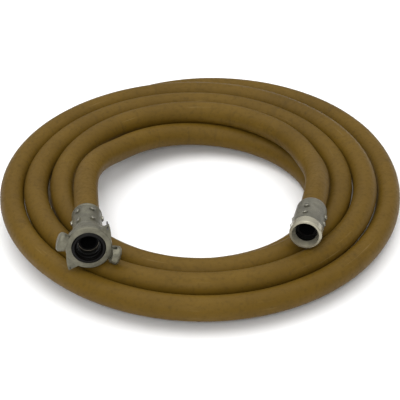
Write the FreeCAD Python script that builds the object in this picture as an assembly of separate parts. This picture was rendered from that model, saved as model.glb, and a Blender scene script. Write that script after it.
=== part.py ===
import FreeCAD, Part
import math
import os

from FreeCAD import Placement, Rotation, Vector

# A coiled blasting hose with a two-claw quick coupling on one end and a nozzle holder on the other.
# Millimetres, +Z up. The origin is on the coupling's axis, in the middle of its gasket's bore.
# Each fitting is drawn in its own frame, mouth at the origin and facing -Y, and then put in its place.

# Hose, from the bore outwards
HOSE_D = 40.0
HOSE_BORE_R = 12.7
LINER_R = 15.5
INNER_PLY_R = 16.4
OUTER_PLY_R = 17.3
HOSE_R = HOSE_D / 2

# Lay of the coil, in hose diameters. The two ovals are (x, y, half width, half depth) about the coil's centre.
COIL_CENTRE = Vector(4.135, 6.26, -2.53) * HOSE_D
COIL_OUTER = (0.15, 0.76, 8.42, 9.28)
COIL_INNER = (0.19, -0.32, 4.29, 4.35)
COIL_HEIGHT = 1.85
COIL_TOP_SLOPE = 2.6
COIL_OUTER_EDGE = 0.70
COIL_INNER_EDGE = 0.40

# Claw coupling
COUPLING_YAW = 5.7
COUPLING_DIP = 6.0
HEAD_R = 35.5
HEAD_LENGTH = 13.0
NECK_END = 46.0
BARREL_R = 23.3
BARREL_LENGTH = 102.0
BEAD_R = 24.0
SEAT_R = 26.5
SEAT_DEPTH = 11.0
WEB_BORE_R = 16.0
SOCKET_START = 20.0
CLAW_ANGLE = -19.6
CLAW_SPAN = 38.0
CLAW_R = 50.0
CLAW_ARM = 7.0
CLAW_HOOK = 6.5
CLAW_REACH = 13.0
CLAW_GAP = 6.6
CLAW_BACK = 10.0
CLAW_CORNER = 10.0
CLAW_ROUND = 5.5
EAR_START = 10.0
EAR_TIP = 49.0
EAR_BACK = 60.0
EAR_R = 49.0
EAR_FRONT = 0.5
EAR_THICK = 5.5
PIN_HOLE_R = 1.3
PIN_HOLE_RADIUS = 44.6
PIN_HOLE_ANGLE = 48.0

# Gasket
GASKET_BORE_R = 17.8
GASKET_PROUD = 1.2
GASKET_BEAD = 4.6
GASKET_BORE_START = 5.0

# Safety pin
PIN_R = 1.22
PIN_TIP = -5.0
PIN_LEG = 13.5
PIN_EYE_R = 3.2

# Nozzle holder
HOLDER_YAW = 12.0
HOLDER_DIP = 2.0
HOLDER_MOUTH = COIL_CENTRE + Vector(4.155, -5.48, 2.46) * HOSE_D
HOLDER_R = 25.4
HOLDER_REAR_R = 24.4
HOLDER_LENGTH = 76.0
HOLDER_CHAMFER = 1.6
THREAD_R = 16.7
THREAD_END = 20.0
WASHER_R = 17.4
COUNTERSINK_R = 21.2
COUNTERSINK_DEPTH = 10.0
HOLDER_SOCKET_START = 23.0

# Screws
SHANK_R = 2.1
SHANK_CLEARANCE = 0.15
SCREW_HEAD_R = 3.8
SCREW_HEAD_HIGH = 2.2
SCREW_POINT_R = 15.9
SCREW_POINT = 2.0
SLOT_WIDTH = 1.1
SLOT_DEPTH = 1.0
PAD_R = 5.2
COUPLING_ROWS = (55.0, 85.0)
COUPLING_SCREWS = 6
COUPLING_SCREW_TURN = 127.0
COUPLING_PAD = 24.0
HOLDER_ROWS = (28.5, 47.5)
HOLDER_SCREWS = 4
HOLDER_SCREW_TURN = 103.0
HOLDER_PAD = 25.6

# The stretches that aren't coiled, from each fitting to the coil, in hose diameters from the coil's centre.
# Each starts on its fitting's axis: RUN_OUT is how far its first point stands behind the fitting.
COUPLING_RUN_OUT = 1.25
COUPLING_TAIL = [
    (-4.63, -1.25, 1.99),
    (-4.60, 0.10, 1.84),
    (-4.33, 1.35, 1.66),
]
HOLDER_RUN_OUT = 1.10
HOLDER_TAIL = [
    (4.95, -1.36, 2.12),
    (5.00, -0.06, 1.83),
    (4.88, 1.20, 1.64),
]

ALONG = Vector(0, 1, 0)
MOUTH = Vector(0, 0, 0)


def disc(radius, start, end):
    """A plain cylinder about the fitting's axis."""
    return Part.makeCylinder(radius, end - start, Vector(0, start, 0), ALONG)


def ring(inner, outer, start, end):
    """A plain tube about the fitting's axis."""
    return disc(outer, start, end).cut(disc(inner, start, end))


def turned(points):
    """A solid of revolution about the fitting's axis, from its closed (radius, distance) outline."""
    corners = [Vector(radius, along, 0) for radius, along in points]
    outline = Part.Face(Part.makePolygon(corners + corners[:1]))
    return outline.revolve(MOUTH, ALONG, 360)


def spot(radius, angle, along=0.0):
    """A point of the fitting by its angle, from +X towards +Z."""
    a = math.radians(angle)
    return Vector(radius * math.cos(a), along, radius * math.sin(a))


def turn(shape, angle):
    """A copy of the shape turned about the fitting's axis, from +X towards +Z."""
    other = shape.copy()
    other.rotate(MOUTH, ALONG, -angle)
    return other


def sector(inner, outer, middle, span, start, end):
    """A block of a ring about the fitting's axis, span degrees wide."""
    first, last = middle - span / 2, middle + span / 2
    a, b = spot(inner, first, start), spot(outer, first, start)
    c, d = spot(outer, last, start), spot(inner, last, start)
    edges = [
        Part.LineSegment(a, b),
        Part.Arc(b, spot(outer, middle, start), c),
        Part.LineSegment(c, d),
        Part.Arc(d, spot(inner, middle, start), a),
    ]
    outline = Part.Wire([edge.toShape() for edge in edges])
    return Part.Face(outline).extrude(Vector(0, end - start, 0))


def claw():
    """A claw: a rounded lug that stands forward of the head, with a gap under its hook for the other coupling's ear."""
    inside = CLAW_R - CLAW_ARM
    hook_inside = inside - CLAW_HOOK
    lug = sector(hook_inside, CLAW_R, CLAW_ANGLE, CLAW_SPAN, -CLAW_REACH, CLAW_BACK)
    radial = [edge for edge in lug.Edges if abs(edge.Length - CLAW_R + hook_inside) < 0.01]
    lug = lug.makeFillet(CLAW_CORNER, radial)
    rim = []
    for edge in lug.Edges:
        middle = edge.valueAt((edge.FirstParameter + edge.LastParameter) / 2)
        if math.hypot(middle.x, middle.z) > CLAW_R - 1:
            rim.append(edge)
    lug = lug.makeFillet(CLAW_ROUND, rim)
    root = sector(SEAT_R + 4, inside, CLAW_ANGLE, CLAW_SPAN - 8, EAR_FRONT, CLAW_BACK - 1)
    gap = sector(hook_inside - 2, inside, CLAW_ANGLE, CLAW_SPAN + 8, -CLAW_GAP, 0)
    return lug.cut(gap).fuse(root).removeSplitter()


def ear():
    """A ramp of the flange that rises to a point. The mating coupling's claw slides behind it."""
    root = HEAD_R - 0.6
    steps = 6
    ramp = []
    for i in range(steps + 1):
        share = i / steps
        angle = EAR_START + share * (EAR_TIP - EAR_START)
        ramp.append(spot(root + (EAR_R - root) * share**1.5, angle, EAR_FRONT))
    curve = Part.BSplineCurve()
    curve.interpolate(ramp)
    inside = spot(HEAD_R - 7, (EAR_START + EAR_TIP) / 2, EAR_FRONT)
    corners = [ramp[-1], spot(root, EAR_BACK, EAR_FRONT), inside, ramp[0]]
    edges = [curve.toShape()]
    edges += [Part.LineSegment(a, b).toShape() for a, b in zip(corners, corners[1:])]
    return Part.Face(Part.Wire(edges)).extrude(Vector(0, EAR_THICK, 0))


def screw_row(along, count, first, seat):
    """A row of slotted pan-head screws that point at the axis."""
    outwards = Vector(1, 0, 0)
    shank = Part.makeCylinder(SHANK_R, seat - SCREW_POINT_R, Vector(SCREW_POINT_R, 0, 0), outwards)
    point = Part.makeCone(0.5, SHANK_R, SCREW_POINT, Vector(SCREW_POINT_R - SCREW_POINT, 0, 0), outwards)
    head = Part.makeCylinder(SCREW_HEAD_R, SCREW_HEAD_HIGH, Vector(seat, 0, 0), outwards)
    top = seat + SCREW_HEAD_HIGH
    head = head.makeFillet(1.2, [edge for edge in head.Edges if abs(edge.CenterOfMass.x - top) < 0.01])
    long = 2 * SCREW_HEAD_R + 2
    slot = Part.makeBox(SLOT_DEPTH + 1, SLOT_WIDTH, long, Vector(top - SLOT_DEPTH, -SLOT_WIDTH / 2, -long / 2))
    screw = head.cut(slot).fuse([shank, point]).removeSplitter()
    screw.translate(Vector(0, along, 0))
    return Part.Compound([turn(screw, first + i * 360 / count) for i in range(count)])


def screw_seats(rows, count, first, seat):
    """The round pads under the screw heads, and the holes for the shanks."""
    pads, holes = [], []
    for along in rows:
        foot = Vector(HOSE_R + 0.8, along, 0)
        pad = Part.makeCylinder(PAD_R, seat - foot.x, foot, Vector(1, 0, 0))
        hole_r = SHANK_R + SHANK_CLEARANCE
        hole = Part.makeCylinder(hole_r, seat, Vector(HOSE_R - 2, along, 0), Vector(1, 0, 0))
        for i in range(count):
            angle = first + i * 360 / count
            pads.append(turn(pad, angle))
            holes.append(turn(hole, angle))
    return pads, holes


def hose_end(prefix, start, end, screws):
    """The hose's layers inside a fitting, with the screws' points let into them."""
    radii = [HOSE_BORE_R, LINER_R, INNER_PLY_R, OUTER_PLY_R, HOSE_R]
    names = ["liner", "inner_ply", "outer_ply", "cover"]
    layers = {}
    for name, inner, outer in zip(names, radii, radii[1:]):
        layers[f"{prefix}_{name}"] = ring(inner, outer, start, end).cut(screws)
    return layers


def claw_coupling():
    """The coupling's pieces."""
    outside = turned([
        (10, 0), (HEAD_R - 1.2, 0), (HEAD_R, 1.2), (HEAD_R, HEAD_LENGTH - 2), (HEAD_R - 2, HEAD_LENGTH),
        (32, 16), (30, 21), (29, 27), (27.6, 34), (25, 41), (BARREL_R, NECK_END),
        (BARREL_R, BARREL_LENGTH - 5), (BEAD_R, BARREL_LENGTH - 4), (BEAD_R, BARREL_LENGTH - 1.4),
        (BEAD_R - 1.4, BARREL_LENGTH), (10, BARREL_LENGTH),
    ])
    pads, shank_holes = screw_seats(COUPLING_ROWS, COUPLING_SCREWS, COUPLING_SCREW_TURN, COUPLING_PAD)
    claws = [claw(), turn(claw(), 180)]
    ears = [ear(), turn(ear(), 180)]
    hollow = [disc(SEAT_R, -1, SEAT_DEPTH), disc(WEB_BORE_R, 0, SOCKET_START + 1)]
    hollow.append(disc(HOSE_R, SOCKET_START, BARREL_LENGTH + 1))
    pin_foot = spot(PIN_HOLE_RADIUS, PIN_HOLE_ANGLE, EAR_FRONT - 1)
    pin_hole = Part.makeCylinder(PIN_HOLE_R, EAR_THICK + 2, pin_foot, ALONG)
    hollow += [pin_hole, turn(pin_hole, 180)] + shank_holes
    lip, groove, bead = GASKET_BORE_R, GASKET_BORE_R + 2.3, SEAT_R - GASKET_BEAD
    gasket = turned([
        (lip, GASKET_BORE_START), (lip + 0.3, 4.3), (lip + 0.9, 4.0), (lip + 1.5, 4.3), (groove, 5.4),
        (bead - 0.4, 2.0), (bead, -GASKET_PROUD), (SEAT_R - 2.2, -GASKET_PROUD), (SEAT_R - 0.8, 0.2), (SEAT_R, 1.0),
        (SEAT_R, SEAT_DEPTH), (lip, SEAT_DEPTH),
    ])
    front, rear = [screw_row(row, COUPLING_SCREWS, COUPLING_SCREW_TURN, COUPLING_PAD) for row in COUPLING_ROWS]
    pieces = {
        "claw_coupling_body": outside.fuse(claws + ears + pads).cut(hollow).removeSplitter(),
        "coupling_gasket": gasket,
        "coupling_screws_front": front,
        "coupling_screws_rear": rear,
        "safety_pin": safety_pin(),
    }
    pieces.update(hose_end("coupling_end", SOCKET_START, BARREL_LENGTH, [front, rear]))
    return pieces


def safety_pin():
    """A wire pin through the upper ear: a straight leg with a round eye behind the ear."""
    foot = spot(PIN_HOLE_RADIUS, PIN_HOLE_ANGLE, PIN_TIP)
    eye_centre = foot + ALONG * (PIN_LEG + PIN_EYE_R)
    leg = Part.makeCylinder(PIN_R, PIN_LEG + 0.6, foot, ALONG)
    eye = Part.makeTorus(PIN_EYE_R, PIN_R, eye_centre, Vector(1, 0, 0))
    return leg.fuse([Part.makeSphere(PIN_R, foot), eye]).removeSplitter()


def nozzle_holder():
    """The nozzle holder's pieces."""
    rear = HOLDER_LENGTH
    outside = turned([
        (10, 0), (HOLDER_R - HOLDER_CHAMFER, 0), (HOLDER_R, HOLDER_CHAMFER), (HOLDER_R, 10),
        (HOLDER_REAR_R, rear - 6), (HOLDER_REAR_R - 0.7, rear - 2.8), (HOLDER_REAR_R - 2.2, rear - 0.6),
        (HOLDER_REAR_R - 3.2, rear), (10, rear),
    ])
    pads, shank_holes = screw_seats(HOLDER_ROWS, HOLDER_SCREWS, HOLDER_SCREW_TURN, HOLDER_PAD)
    wide = COUNTERSINK_R + (COUNTERSINK_R - THREAD_R) / COUNTERSINK_DEPTH
    countersink = Part.makeCone(wide, THREAD_R, COUNTERSINK_DEPTH + 1, Vector(0, -1, 0), ALONG)
    hollow = [disc(THREAD_R, -1, THREAD_END + 1), disc(WASHER_R, THREAD_END, HOLDER_SOCKET_START), countersink]
    hollow.append(disc(HOSE_R, HOLDER_SOCKET_START, rear + 1))
    first, second = [screw_row(row, HOLDER_SCREWS, HOLDER_SCREW_TURN, HOLDER_PAD) for row in HOLDER_ROWS]
    pieces = {
        "nozzle_holder_body": outside.fuse(pads).cut(hollow + shank_holes).removeSplitter(),
        "nozzle_washer": ring(HOSE_BORE_R, WASHER_R, THREAD_END, HOLDER_SOCKET_START),
        "holder_screws_front": first,
        "holder_screws_rear": second,
    }
    pieces.update(hose_end("holder_end", HOLDER_SOCKET_START, rear, [first, second]))
    return pieces


def oval(x, y, half_width, half_depth):
    """An oval face on the floor, about the coil's centre."""
    centre = COIL_CENTRE + Vector(x, y, 0) * HOSE_D
    far, side = Vector(0, half_depth, 0) * HOSE_D, Vector(half_width, 0, 0) * HOSE_D
    return Part.Face(Part.Wire(Part.Ellipse(centre + far, centre + side, centre).toShape()))


def coil():
    """The outer shape of the wound turns: a thick ring, higher behind than in front."""
    tall = Vector(0, 0, 3 * HOSE_D)
    whole = oval(*COIL_OUTER).extrude(tall).cut(oval(*COIL_INNER).extrude(tall))
    reach = 12 * HOSE_D
    above = Part.makeBox(2 * reach, 2 * reach, tall.z, Vector(-reach, -reach, 0))
    above.rotate(MOUTH, Vector(1, 0, 0), COIL_TOP_SLOPE)
    above.translate(COIL_CENTRE + Vector(0, 0, COIL_HEIGHT) * HOSE_D)
    whole = whole.cut(above)
    for radius, is_outer in ((COIL_OUTER_EDGE, True), (COIL_INNER_EDGE, False)):
        middle = (COIL_OUTER[2] + COIL_INNER[2]) * HOSE_D
        rims = []
        for edge in whole.Edges:
            closed = edge.firstVertex().isSame(edge.lastVertex())
            if closed and (edge.BoundBox.XLength > middle) == is_outer:
                rims.append(edge)
        whole = whole.makeFillet(radius * HOSE_D, rims)
    return whole


def hose_run(name, points):
    """A hose along straight runs joined by the largest tangent arcs that the runs allow."""
    edges, at = [], points[0]
    for before, corner, after in zip(points, points[1:], points[2:]):
        into, out = corner - before, after - corner
        reach = 0.45 * min(into.Length, out.Length)
        start = corner - into * (reach / into.Length)
        end = corner + out * (reach / out.Length)
        radius = reach / math.tan(into.getAngle(out) / 2)
        inward = (start + end) * 0.5 - corner
        sag = math.hypot(radius, reach) - radius
        middle = corner + inward * (sag / inward.Length)
        edges.append(Part.LineSegment(at, start).toShape())
        edges.append(Part.Arc(start, middle, end).toShape())
        print(f"{name}: arc radius {radius:.0f} mm, {radius / HOSE_D:.1f} diameters")
        at = end
    edges.append(Part.LineSegment(at, points[-1]).toShape())
    path = Part.Wire(edges)
    section = Part.Wire(Part.Circle(points[0], points[1] - points[0], HOSE_R).toShape())
    tube = path.makePipeShell([section], True, False)
    print(f"{name}: volume {tube.Volume:.0f}, section times length {math.pi * HOSE_R**2 * path.Length:.0f}")
    return tube


def tail(name, place, length, run_out, route):
    """The hose from behind a fitting to where the coil begins."""
    points = [place.multVec(ALONG * length), place.multVec(ALONG * (length + run_out * HOSE_D))]
    points += [COIL_CENTRE + Vector(*point) * HOSE_D for point in route]
    for point in points:
        print(f"{name}: {point.x:.1f}, {point.y:.1f}, {point.z:.1f}")
    return hose_run(name, points)


def main():
    upright = Vector(0, 0, 1)
    sideways = Vector(1, 0, 0)
    coupling_turn = Rotation(upright, COUPLING_YAW) * Rotation(sideways, -COUPLING_DIP)
    coupling_mouth = coupling_turn.multVec(ALONG * -(GASKET_BORE_START + SEAT_DEPTH) / 2)
    coupling_place = Placement(coupling_mouth, coupling_turn)
    holder_turn = Rotation(upright, -HOLDER_YAW) * Rotation(sideways, -HOLDER_DIP)
    holder_place = Placement(HOLDER_MOUTH, holder_turn)
    nodes = {}
    for pieces, place in ((claw_coupling(), coupling_place), (nozzle_holder(), holder_place)):
        for name, shape in pieces.items():
            shape.Placement = place.multiply(shape.Placement)
            nodes[name] = shape
    nodes["hose_coupling_tail"] = tail(
        "hose_coupling_tail", coupling_place, BARREL_LENGTH, COUPLING_RUN_OUT, COUPLING_TAIL
    )
    nodes["hose_holder_tail"] = tail(
        "hose_holder_tail", holder_place, HOLDER_LENGTH, HOLDER_RUN_OUT, HOLDER_TAIL
    )
    nodes["hose_coil"] = coil()
    os.makedirs("parts", exist_ok=True)
    for name, shape in nodes.items():
        shape.exportStep(f"parts/{name}.step")
        print(f"{name}: {len(shape.Solids)} solid(s), {shape.Volume / 1000:.2f} cm3, valid {shape.isValid()}")


main()
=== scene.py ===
import math

import bpy
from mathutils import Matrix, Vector


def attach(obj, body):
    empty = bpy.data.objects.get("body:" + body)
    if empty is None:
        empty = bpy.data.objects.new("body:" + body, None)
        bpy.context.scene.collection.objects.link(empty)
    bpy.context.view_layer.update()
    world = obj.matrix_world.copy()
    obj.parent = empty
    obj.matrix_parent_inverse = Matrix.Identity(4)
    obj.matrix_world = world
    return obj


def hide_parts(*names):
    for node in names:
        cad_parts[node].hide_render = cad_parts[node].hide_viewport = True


# Metres, in the row frame. The coil's sizes are in hose diameters about its own centre on the floor.
HOSE_D = 0.040
COIL_CENTRE = Vector((4.135, 6.26, -2.53)) * HOSE_D

# The coil by quarter turns, anticlockwise from the front, holder's end first: (radius, height).
# These stations, and the camera's rise, reach and shift, weren't chosen by hand. They come from a
# least-squares fit run outside this script, and the stations were then adjusted.
COIL_QUARTERS = [
    (5.60, 2.30), (4.98, 1.72), (5.15, 1.72), (5.67, 1.53),
    (6.04, 1.16), (6.02, 1.43), (6.13, 1.64), (6.76, 1.45),
    (7.07, 1.24), (7.05, 1.39), (7.18, 1.61), (7.77, 1.31),
    (8.03, 0.88), (8.08, 0.86), (9.55, 0.53), (5.80, 0.50),
    (5.17, 0.51), (5.18, 0.53), (4.54, 0.95), (4.20, 1.72), (5.40, 2.60),
]
COIL_START = 31.8
COIL_END = 1584.7
COIL_STEPS = 86

# The stretches that aren't coiled, from each fitting to the coil. A search for a gentler bend picked the
# last point of each.
COUPLING_TAIL = [
    (-4.63, -1.25, 1.99),
    (-4.60, 0.10, 1.84),
    (-4.20, 1.35, 1.66),
]
HOLDER_TAIL = [
    (4.95, -1.36, 2.16),
    (5.00, -0.06, 1.86),
    (4.80, 1.10, 1.70),
]

# Fittings: where each one's mouth is, which way its barrel runs,
# and how far the hose's first point stands behind it
COUPLING_YAW, COUPLING_DIP = math.radians(5.7), math.radians(6.0)
COUPLING_LENGTH, COUPLING_RUN_OUT = 0.102, 1.25 * HOSE_D
BORE_MIDDLE = 0.008
HOLDER_YAW, HOLDER_DIP = math.radians(-12.0), math.radians(2.0)
HOLDER_MOUTH = COIL_CENTRE + Vector((4.155, -5.48, 2.46)) * HOSE_D
HOLDER_LENGTH, HOLDER_RUN_OUT = 0.076, 1.10 * HOSE_D

HOSE_LIGHT = (0.120, 0.068, 0.0065)
HOSE_DARK = (0.086, 0.048, 0.0045)
HOSE_GRIME = (0.034, 0.022, 0.006)
HOSE_CHALK = (0.230, 0.165, 0.070)
CAST_COLOUR = (0.185, 0.176, 0.128)
SLEEVE_COLOUR = (0.198, 0.188, 0.146)
TURNED_COLOUR = (0.38, 0.355, 0.27)
# Painted shade: near black inside the fittings' bores, where the light doesn't reach
PAINTED_BORE_SHADE = (0.004, 0.004, 0.003)
GASKET_COLOUR = (0.0020, 0.0016, 0.0012)
SCREW_COLOUR = (0.23, 0.22, 0.18)
WIRE_COLOUR = (0.10, 0.095, 0.10)
LINER_COLOUR = (0.003, 0.003, 0.003)
PLY_COLOUR = (0.22, 0.19, 0.14)
FLOOR_COLOUR = (0.95, 0.95, 0.95)

# How dark the stains in dull metal are, and the troughs between turned rings, against the clean metal
STAIN_SHADE = 0.55
RING_SHADE = 0.86

# How fine each pattern is, as noise scales
RUBBER_CLOUDS, RUBBER_SPECKLES, RUBBER_WEAR, RUBBER_GRAIN = 7.0, 160.0, 14.0, 420.0
METAL_STAINS, CAST_PITS, TURNED_PITS = 55.0, 700.0, 900.0

# How deep each surface's relief is, in metres
RUBBER_RELIEF, CAST_RELIEF, TURNED_RELIEF = 0.0006, 0.0010, 0.0008

# Bores, as wide as the painted shade in them reaches, and how softly it ends
COUPLING_BORE = 0.0205
HOLDER_BORE = 0.0168
BORE_FADE = 0.0003

# How far from its mouth the holder is turned bright, how softly that ends,
# and how far apart the tool left its marks
TURNED_LENGTH = 0.015
TURNED_FADE = 0.0008
TURNED_PITCH = 0.0011

# How the hose's marks are drawn out, per whole length and per turn round it:
# scuffs along it, and wrap marks round it
SCUFF_STRETCH = (70.0, 26.0, 1.0)
WRAP_STRETCH = (420.0, 1.2, 1.0)

# The sky's brightness at the horizon and overhead
SKY_LOW = 0.4
SKY_HIGH = 1.3

# Camera: its rise and reach from the coil's centre, lens and sensor in millimetres,
# and shift as a share of the picture's width
CAMERA_RISE = math.radians(34.26)
CAMERA_REACH = 57.91 * HOSE_D
CAMERA_LENS = 121.5
CAMERA_SENSOR = 36
CAMERA_SHIFT_X = 0.0065
CAMERA_SHIFT_Y = 0.0195

# Lamps: power, width, and place from the coil's centre
KEY_LAMP = (37, 3.0, Vector((-0.3, 0.2, 2.4)))
GLINT_LAMP = (11, 0.4, Vector((-0.2, -1.9, 1.35)))

FLOOR_WIDTH = 12

# How finely the hose is drawn, along it and round it
HOSE_STEPS_ALONG = 8
HOSE_STEPS_ROUND = 14


def backwards(yaw, dip):
    """The way a fitting's barrel runs from its mouth."""
    return Vector((-math.sin(yaw) * math.cos(dip), math.cos(yaw) * math.cos(dip), -math.sin(dip)))


def in_coil(point):
    """A point given in hose diameters from the coil's centre."""
    return COIL_CENTRE + Vector(point) * HOSE_D


def quarter_blend(values, place):
    """A smooth curve through evenly spaced values."""
    i = min(max(int(place), 1), len(values) - 3)
    u = place - i
    a, b, c, d = values[i - 1:i + 3]
    square = 2 * a - 5 * b + 4 * c - d
    cube = 3 * b - a - 3 * c + d
    return 0.5 * (2 * b + (c - a) * u + square * u**2 + cube * u**3)


def coil_points():
    """The hose's coiled stretch, from the holder's end to the coupling's."""
    radii, heights = zip(*COIL_QUARTERS)
    step = (COIL_END - COIL_START) / COIL_STEPS
    pull = 1 / math.cos(math.radians(step / 2))
    points = []
    for i in range(COIL_STEPS + 1):
        angle = COIL_START + i * step
        place = 1 + angle / 90
        radius = quarter_blend(radii, place) * pull
        a = math.radians(angle)
        points.append(in_coil((radius * math.cos(a), radius * math.sin(a), quarter_blend(heights, place))))
    return points


def hose_route():
    """The hose's whole line, from the coupling's rear to the holder's rear."""
    coupling_way, holder_way = backwards(COUPLING_YAW, COUPLING_DIP), backwards(HOLDER_YAW, HOLDER_DIP)
    coupling_rear = coupling_way * (COUPLING_LENGTH - BORE_MIDDLE)
    holder_rear = HOLDER_MOUTH + holder_way * HOLDER_LENGTH
    points = [coupling_rear, coupling_rear + coupling_way * COUPLING_RUN_OUT]
    points += [in_coil(p) for p in COUPLING_TAIL]
    points += coil_points()[::-1]
    points += [in_coil(p) for p in HOLDER_TAIL[::-1]]
    points += [holder_rear + holder_way * HOLDER_RUN_OUT, holder_rear]
    return points


def make_hose(material):
    """The hose: one open curve with a round section."""
    line = bpy.data.curves.new("hose", "CURVE")
    line.dimensions = "3D"
    spline = line.splines.new("NURBS")
    route = hose_route()
    spline.points.add(len(route) - 1)
    for knot, point in zip(spline.points, route):
        knot.co = (*point, 1.0)
    spline.order_u = 3
    spline.use_endpoint_u = True
    spline.resolution_u = HOSE_STEPS_ALONG
    line.bevel_depth = HOSE_D / 2
    line.bevel_resolution = HOSE_STEPS_ROUND
    hose = bpy.data.objects.new("hose", line)
    bpy.context.scene.collection.objects.link(hose)
    hose.data.materials.append(material)
    return hose


class Surface:
    """A procedural material, built node by node."""

    def __init__(self, name, roughness, metallic=0.0, gloss=0.5):
        self.material = bpy.data.materials.new(name)
        self.material.use_nodes = True
        self.tree = self.material.node_tree
        self.shader = self.tree.nodes["Principled BSDF"]
        self.shader.inputs["Roughness"].default_value = roughness
        self.shader.inputs["Metallic"].default_value = metallic
        self.shader.inputs["Specular IOR Level"].default_value = gloss
        self.place = self.tree.nodes.new("ShaderNodeTexCoord").outputs["Object"]

    def node(self, kind, inputs=(), **settings):
        made = self.tree.nodes.new(kind)
        for key, value in settings.items():
            setattr(made, key, value)
        for key, value in dict(inputs).items():
            if isinstance(value, bpy.types.NodeSocket):
                self.tree.links.new(value, made.inputs[key])
            else:
                made.inputs[key].default_value = value
        return made

    def noise(self, scale, detail=3.0, roughness=0.5, vector=None):
        inputs = {"Vector": vector or self.place, "Scale": scale, "Detail": detail, "Roughness": roughness}
        return self.node("ShaderNodeTexNoise", inputs).outputs["Fac"]

    def spread(self, value, low, high, to_low=0.0, to_high=1.0):
        inputs = {"Value": value, "From Min": low, "From Max": high, "To Min": to_low, "To Max": to_high}
        return self.node("ShaderNodeMapRange", inputs, clamp=True).outputs["Result"]

    def combine(self, first, second, operation="ADD"):
        return self.node("ShaderNodeMath", {0: first, 1: second}, operation=operation).outputs[0]

    def mix(self, amount, first, second):
        inputs = {0: amount, 6: first, 7: second}
        return self.node("ShaderNodeMix", inputs, data_type="RGBA").outputs[2]

    def bump(self, height, strength, distance):
        inputs = {"Height": height, "Strength": strength, "Distance": distance}
        self.set("Normal", self.node("ShaderNodeBump", inputs).outputs["Normal"])

    def set(self, name, value):
        if isinstance(value, bpy.types.NodeSocket):
            self.tree.links.new(value, self.shader.inputs[name])
        else:
            self.shader.inputs[name].default_value = value


def rgb(red, green, blue):
    return (red, green, blue, 1.0)


def plain(name, colour, roughness, metallic=0.0, gloss=0.5):
    surface = Surface(name, roughness, metallic, gloss)
    surface.set("Base Color", rgb(*colour))
    return surface.material


def hose_rubber():
    """Tan-brown rubber: dusty mottling, scuffs that run along the hose and narrow wrap marks round it."""
    surface = Surface("hose_cover", 0.5, gloss=0.12)
    along = surface.node("ShaderNodeTexCoord").outputs["UV"]
    cloudy = surface.noise(RUBBER_CLOUDS, 4.0, 0.6)
    speckled = surface.noise(RUBBER_SPECKLES, 3.0, 0.6)
    colour = surface.mix(surface.spread(cloudy, 0.3, 0.7), rgb(*HOSE_DARK), rgb(*HOSE_LIGHT))
    colour = surface.mix(surface.spread(speckled, 0.5, 0.8, 0.0, 0.4), colour, rgb(*HOSE_GRIME))

    drawn_out = surface.node("ShaderNodeMapping", {"Vector": along, "Scale": SCUFF_STRETCH})
    scuffs = surface.noise(1.0, 4.0, 0.7, drawn_out.outputs["Vector"])
    worn = surface.spread(surface.noise(RUBBER_WEAR, 2.0), 0.45, 0.65)
    chalk = surface.combine(surface.spread(scuffs, 0.60, 0.74, 0.0, 0.55), worn, "MULTIPLY")
    colour = surface.mix(chalk, colour, rgb(*HOSE_CHALK))

    banded = surface.node("ShaderNodeMapping", {"Vector": along, "Scale": WRAP_STRETCH})
    wraps = surface.noise(1.0, 2.0, 0.6, banded.outputs["Vector"])
    colour = surface.mix(surface.spread(wraps, 0.62, 0.78, 0.0, 0.3), colour, rgb(*HOSE_GRIME))

    surface.set("Base Color", colour)
    surface.set("Roughness", surface.spread(speckled, 0.3, 0.8, 0.46, 0.64))
    grain = surface.noise(RUBBER_GRAIN, 2.0)
    relief = surface.combine(grain, surface.combine(wraps, 1.5, "MULTIPLY"))
    surface.bump(relief, 0.25, RUBBER_RELIEF)
    return surface.material


def cast_metal():
    """The coupling: sand-cast aluminium, dull and slightly pitted, with painted shade making its bore
    black.
    """
    surface = Surface("cast_aluminium", 0.5, 0.75)
    tone, _ = dull_metal(surface, CAST_COLOUR, CAST_PITS)
    # Painted shade: inside the bore the metal is coloured near black and made non-metallic
    inside = in_bore(surface, Vector((0, 0, 0)), backwards(COUPLING_YAW, COUPLING_DIP), COUPLING_BORE)
    surface.set("Base Color", surface.mix(inside, tone, rgb(*PAINTED_BORE_SHADE)))
    surface.set("Metallic", surface.spread(inside, 0.0, 1.0, 0.75, 0.0))
    return surface.material


def in_bore(surface, start, way, radius):
    """1 nearer than a radius to a fitting's axis, and 0 further out."""
    offset = surface.node("ShaderNodeVectorMath", {0: surface.place, 1: start}, operation="SUBTRACT")
    across = surface.node("ShaderNodeVectorMath", {0: offset.outputs[0], 1: way}, operation="CROSS_PRODUCT")
    distance = surface.node("ShaderNodeVectorMath", {0: across.outputs[0]}, operation="LENGTH")
    return surface.spread(distance.outputs["Value"], radius, radius + BORE_FADE, 1.0, 0.0)


def dull_metal(surface, colour, grain):
    """Gives a surface its uneven dullness and its pits. Returns its blotchy colour and the pits."""
    pits = surface.noise(grain, 4.0, 0.65)
    stain = surface.noise(METAL_STAINS, 3.0, 0.6)
    dark = tuple(STAIN_SHADE * c for c in colour)
    tone = surface.mix(surface.spread(stain, 0.35, 0.7), rgb(*dark), rgb(*colour))
    surface.set("Roughness", surface.spread(pits, 0.3, 0.7, 0.28, 0.5))
    surface.bump(pits, 0.55, CAST_RELIEF)
    return tone, pits


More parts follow.
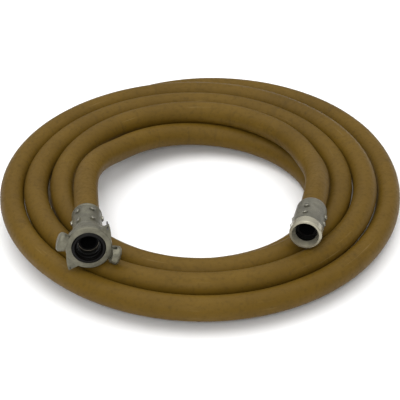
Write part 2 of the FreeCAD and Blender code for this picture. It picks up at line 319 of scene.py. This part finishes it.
def turned_metal():
    """The holder: dull outside, and turned bright with fine rings round its mouth."""
    surface = Surface("turned_aluminium", 0.5, 0.8)
    tone, pits = dull_metal(surface, SLEEVE_COLOUR, TURNED_PITS)
    way = backwards(HOLDER_YAW, HOLDER_DIP)
    from_mouth = surface.node("ShaderNodeVectorMath", {0: surface.place, 1: way}, operation="DOT_PRODUCT")
    depth = surface.combine(from_mouth.outputs["Value"], HOLDER_MOUTH.dot(way), "SUBTRACT")
    bright = surface.spread(depth, TURNED_LENGTH - TURNED_FADE, TURNED_LENGTH, 1.0, 0.0)
    rings = surface.combine(surface.combine(depth, 2 * math.pi / TURNED_PITCH, "MULTIPLY"), 0.0, "SINE")
    trough = tuple(RING_SHADE * c for c in TURNED_COLOUR)
    bare = surface.mix(surface.spread(rings, -1.0, 1.0), rgb(*trough), rgb(*TURNED_COLOUR))
    # Painted shade: inside the holder's bore the metal is coloured near black and made non-metallic
    inside = in_bore(surface, HOLDER_MOUTH, way, HOLDER_BORE)
    outside = surface.mix(bright, tone, bare)
    surface.set("Base Color", surface.mix(inside, outside, rgb(*PAINTED_BORE_SHADE)))
    surface.set("Metallic", surface.spread(inside, 0.0, 1.0, 0.7, 0.0))
    surface.set("Roughness", surface.spread(bright, 0.0, 1.0, 0.45, 0.26))
    rough = surface.combine(pits, surface.combine(1.0, bright, "SUBTRACT"), "MULTIPLY")
    surface.bump(rough, 0.5, TURNED_RELIEF)
    return surface.material


def dress_frame(nodes):
    """Every CAD piece that shows takes its own material."""
    black = plain("black_rubber", GASKET_COLOUR, 0.45, gloss=0.14)
    screws = plain("zinc_steel", SCREW_COLOUR, 0.28, 1.0)
    dress = {
        "claw_coupling_body": cast_metal(),
        "nozzle_holder_body": turned_metal(),
        "coupling_gasket": black,
        "nozzle_washer": black,
        "safety_pin": plain("dark_wire", WIRE_COLOUR, 0.35, 0.9),
    }
    liner = plain("hose_liner", LINER_COLOUR, 0.8, gloss=0.1)
    ply = plain("hose_ply", PLY_COLOUR, 0.9)
    cover = plain("hose_cover_cut", HOSE_LIGHT, 0.7)
    for name, node in nodes.items():
        if "screws" in name:
            material = screws
        elif name.endswith("liner"):
            material = liner
        elif name.endswith("ply"):
            material = ply
        else:
            material = dress.get(name, cover)
        node.data.materials.clear()
        node.data.materials.append(material)


def add_camera():
    data = bpy.data.cameras.new("camera")
    camera = bpy.data.objects.new("camera", data)
    bpy.context.scene.collection.objects.link(camera)
    towards_camera = Vector((0, -math.cos(CAMERA_RISE), math.sin(CAMERA_RISE)))
    camera.location = COIL_CENTRE + towards_camera * CAMERA_REACH
    camera.rotation_euler = (math.pi / 2 - CAMERA_RISE, 0, 0)
    data.lens = CAMERA_LENS
    data.sensor_width = CAMERA_SENSOR
    data.shift_x = CAMERA_SHIFT_X
    data.shift_y = CAMERA_SHIFT_Y
    bpy.context.scene.camera = camera


def add_stage():
    bpy.ops.mesh.primitive_plane_add(size=FLOOR_WIDTH, location=COIL_CENTRE)
    floor = bpy.context.object
    floor.name = "floor"
    floor.data.materials.append(plain("floor", FLOOR_COLOUR, 0.9))


def add_light():
    world = bpy.data.worlds.new("world")
    bpy.context.scene.world = world
    world.use_nodes = True
    tree = world.node_tree
    way = tree.nodes.new("ShaderNodeSeparateXYZ")
    tree.links.new(tree.nodes.new("ShaderNodeTexCoord").outputs["Generated"], way.inputs[0])
    height = tree.nodes.new("ShaderNodeMapRange")
    tree.links.new(way.outputs["Z"], height.inputs["Value"])
    height.inputs["To Min"].default_value = SKY_LOW
    height.inputs["To Max"].default_value = SKY_HIGH
    tree.nodes["Background"].inputs["Color"].default_value = (1, 1, 1, 1)
    tree.links.new(height.outputs["Result"], tree.nodes["Background"].inputs["Strength"])
    bpy.context.scene.view_settings.view_transform = "Standard"
    add_lamp("key", *KEY_LAMP)
    add_lamp("glint", *GLINT_LAMP)


def add_lamp(name, energy, size, place):
    """A square lamp that looks at the coil from a place beside it."""
    lamp = bpy.data.lights.new(name, "AREA")
    lamp.energy = energy
    lamp.size = size
    light = bpy.data.objects.new(name, lamp)
    bpy.context.scene.collection.objects.link(light)
    light.location = COIL_CENTRE + place
    light.rotation_euler = (-place).to_track_quat("-Z", "Y").to_euler()


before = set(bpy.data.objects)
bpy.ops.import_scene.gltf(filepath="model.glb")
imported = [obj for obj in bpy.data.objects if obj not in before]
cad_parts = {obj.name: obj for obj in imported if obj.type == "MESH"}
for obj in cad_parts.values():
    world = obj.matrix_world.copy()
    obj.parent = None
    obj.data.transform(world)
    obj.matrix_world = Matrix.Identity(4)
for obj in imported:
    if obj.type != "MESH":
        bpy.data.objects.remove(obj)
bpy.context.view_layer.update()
add_camera()
dress_frame(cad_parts)
hose = make_hose(hose_rubber())
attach(hose, "hose_assembly")
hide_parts("hose_coil", "hose_coupling_tail", "hose_holder_tail")
add_stage()
add_light()
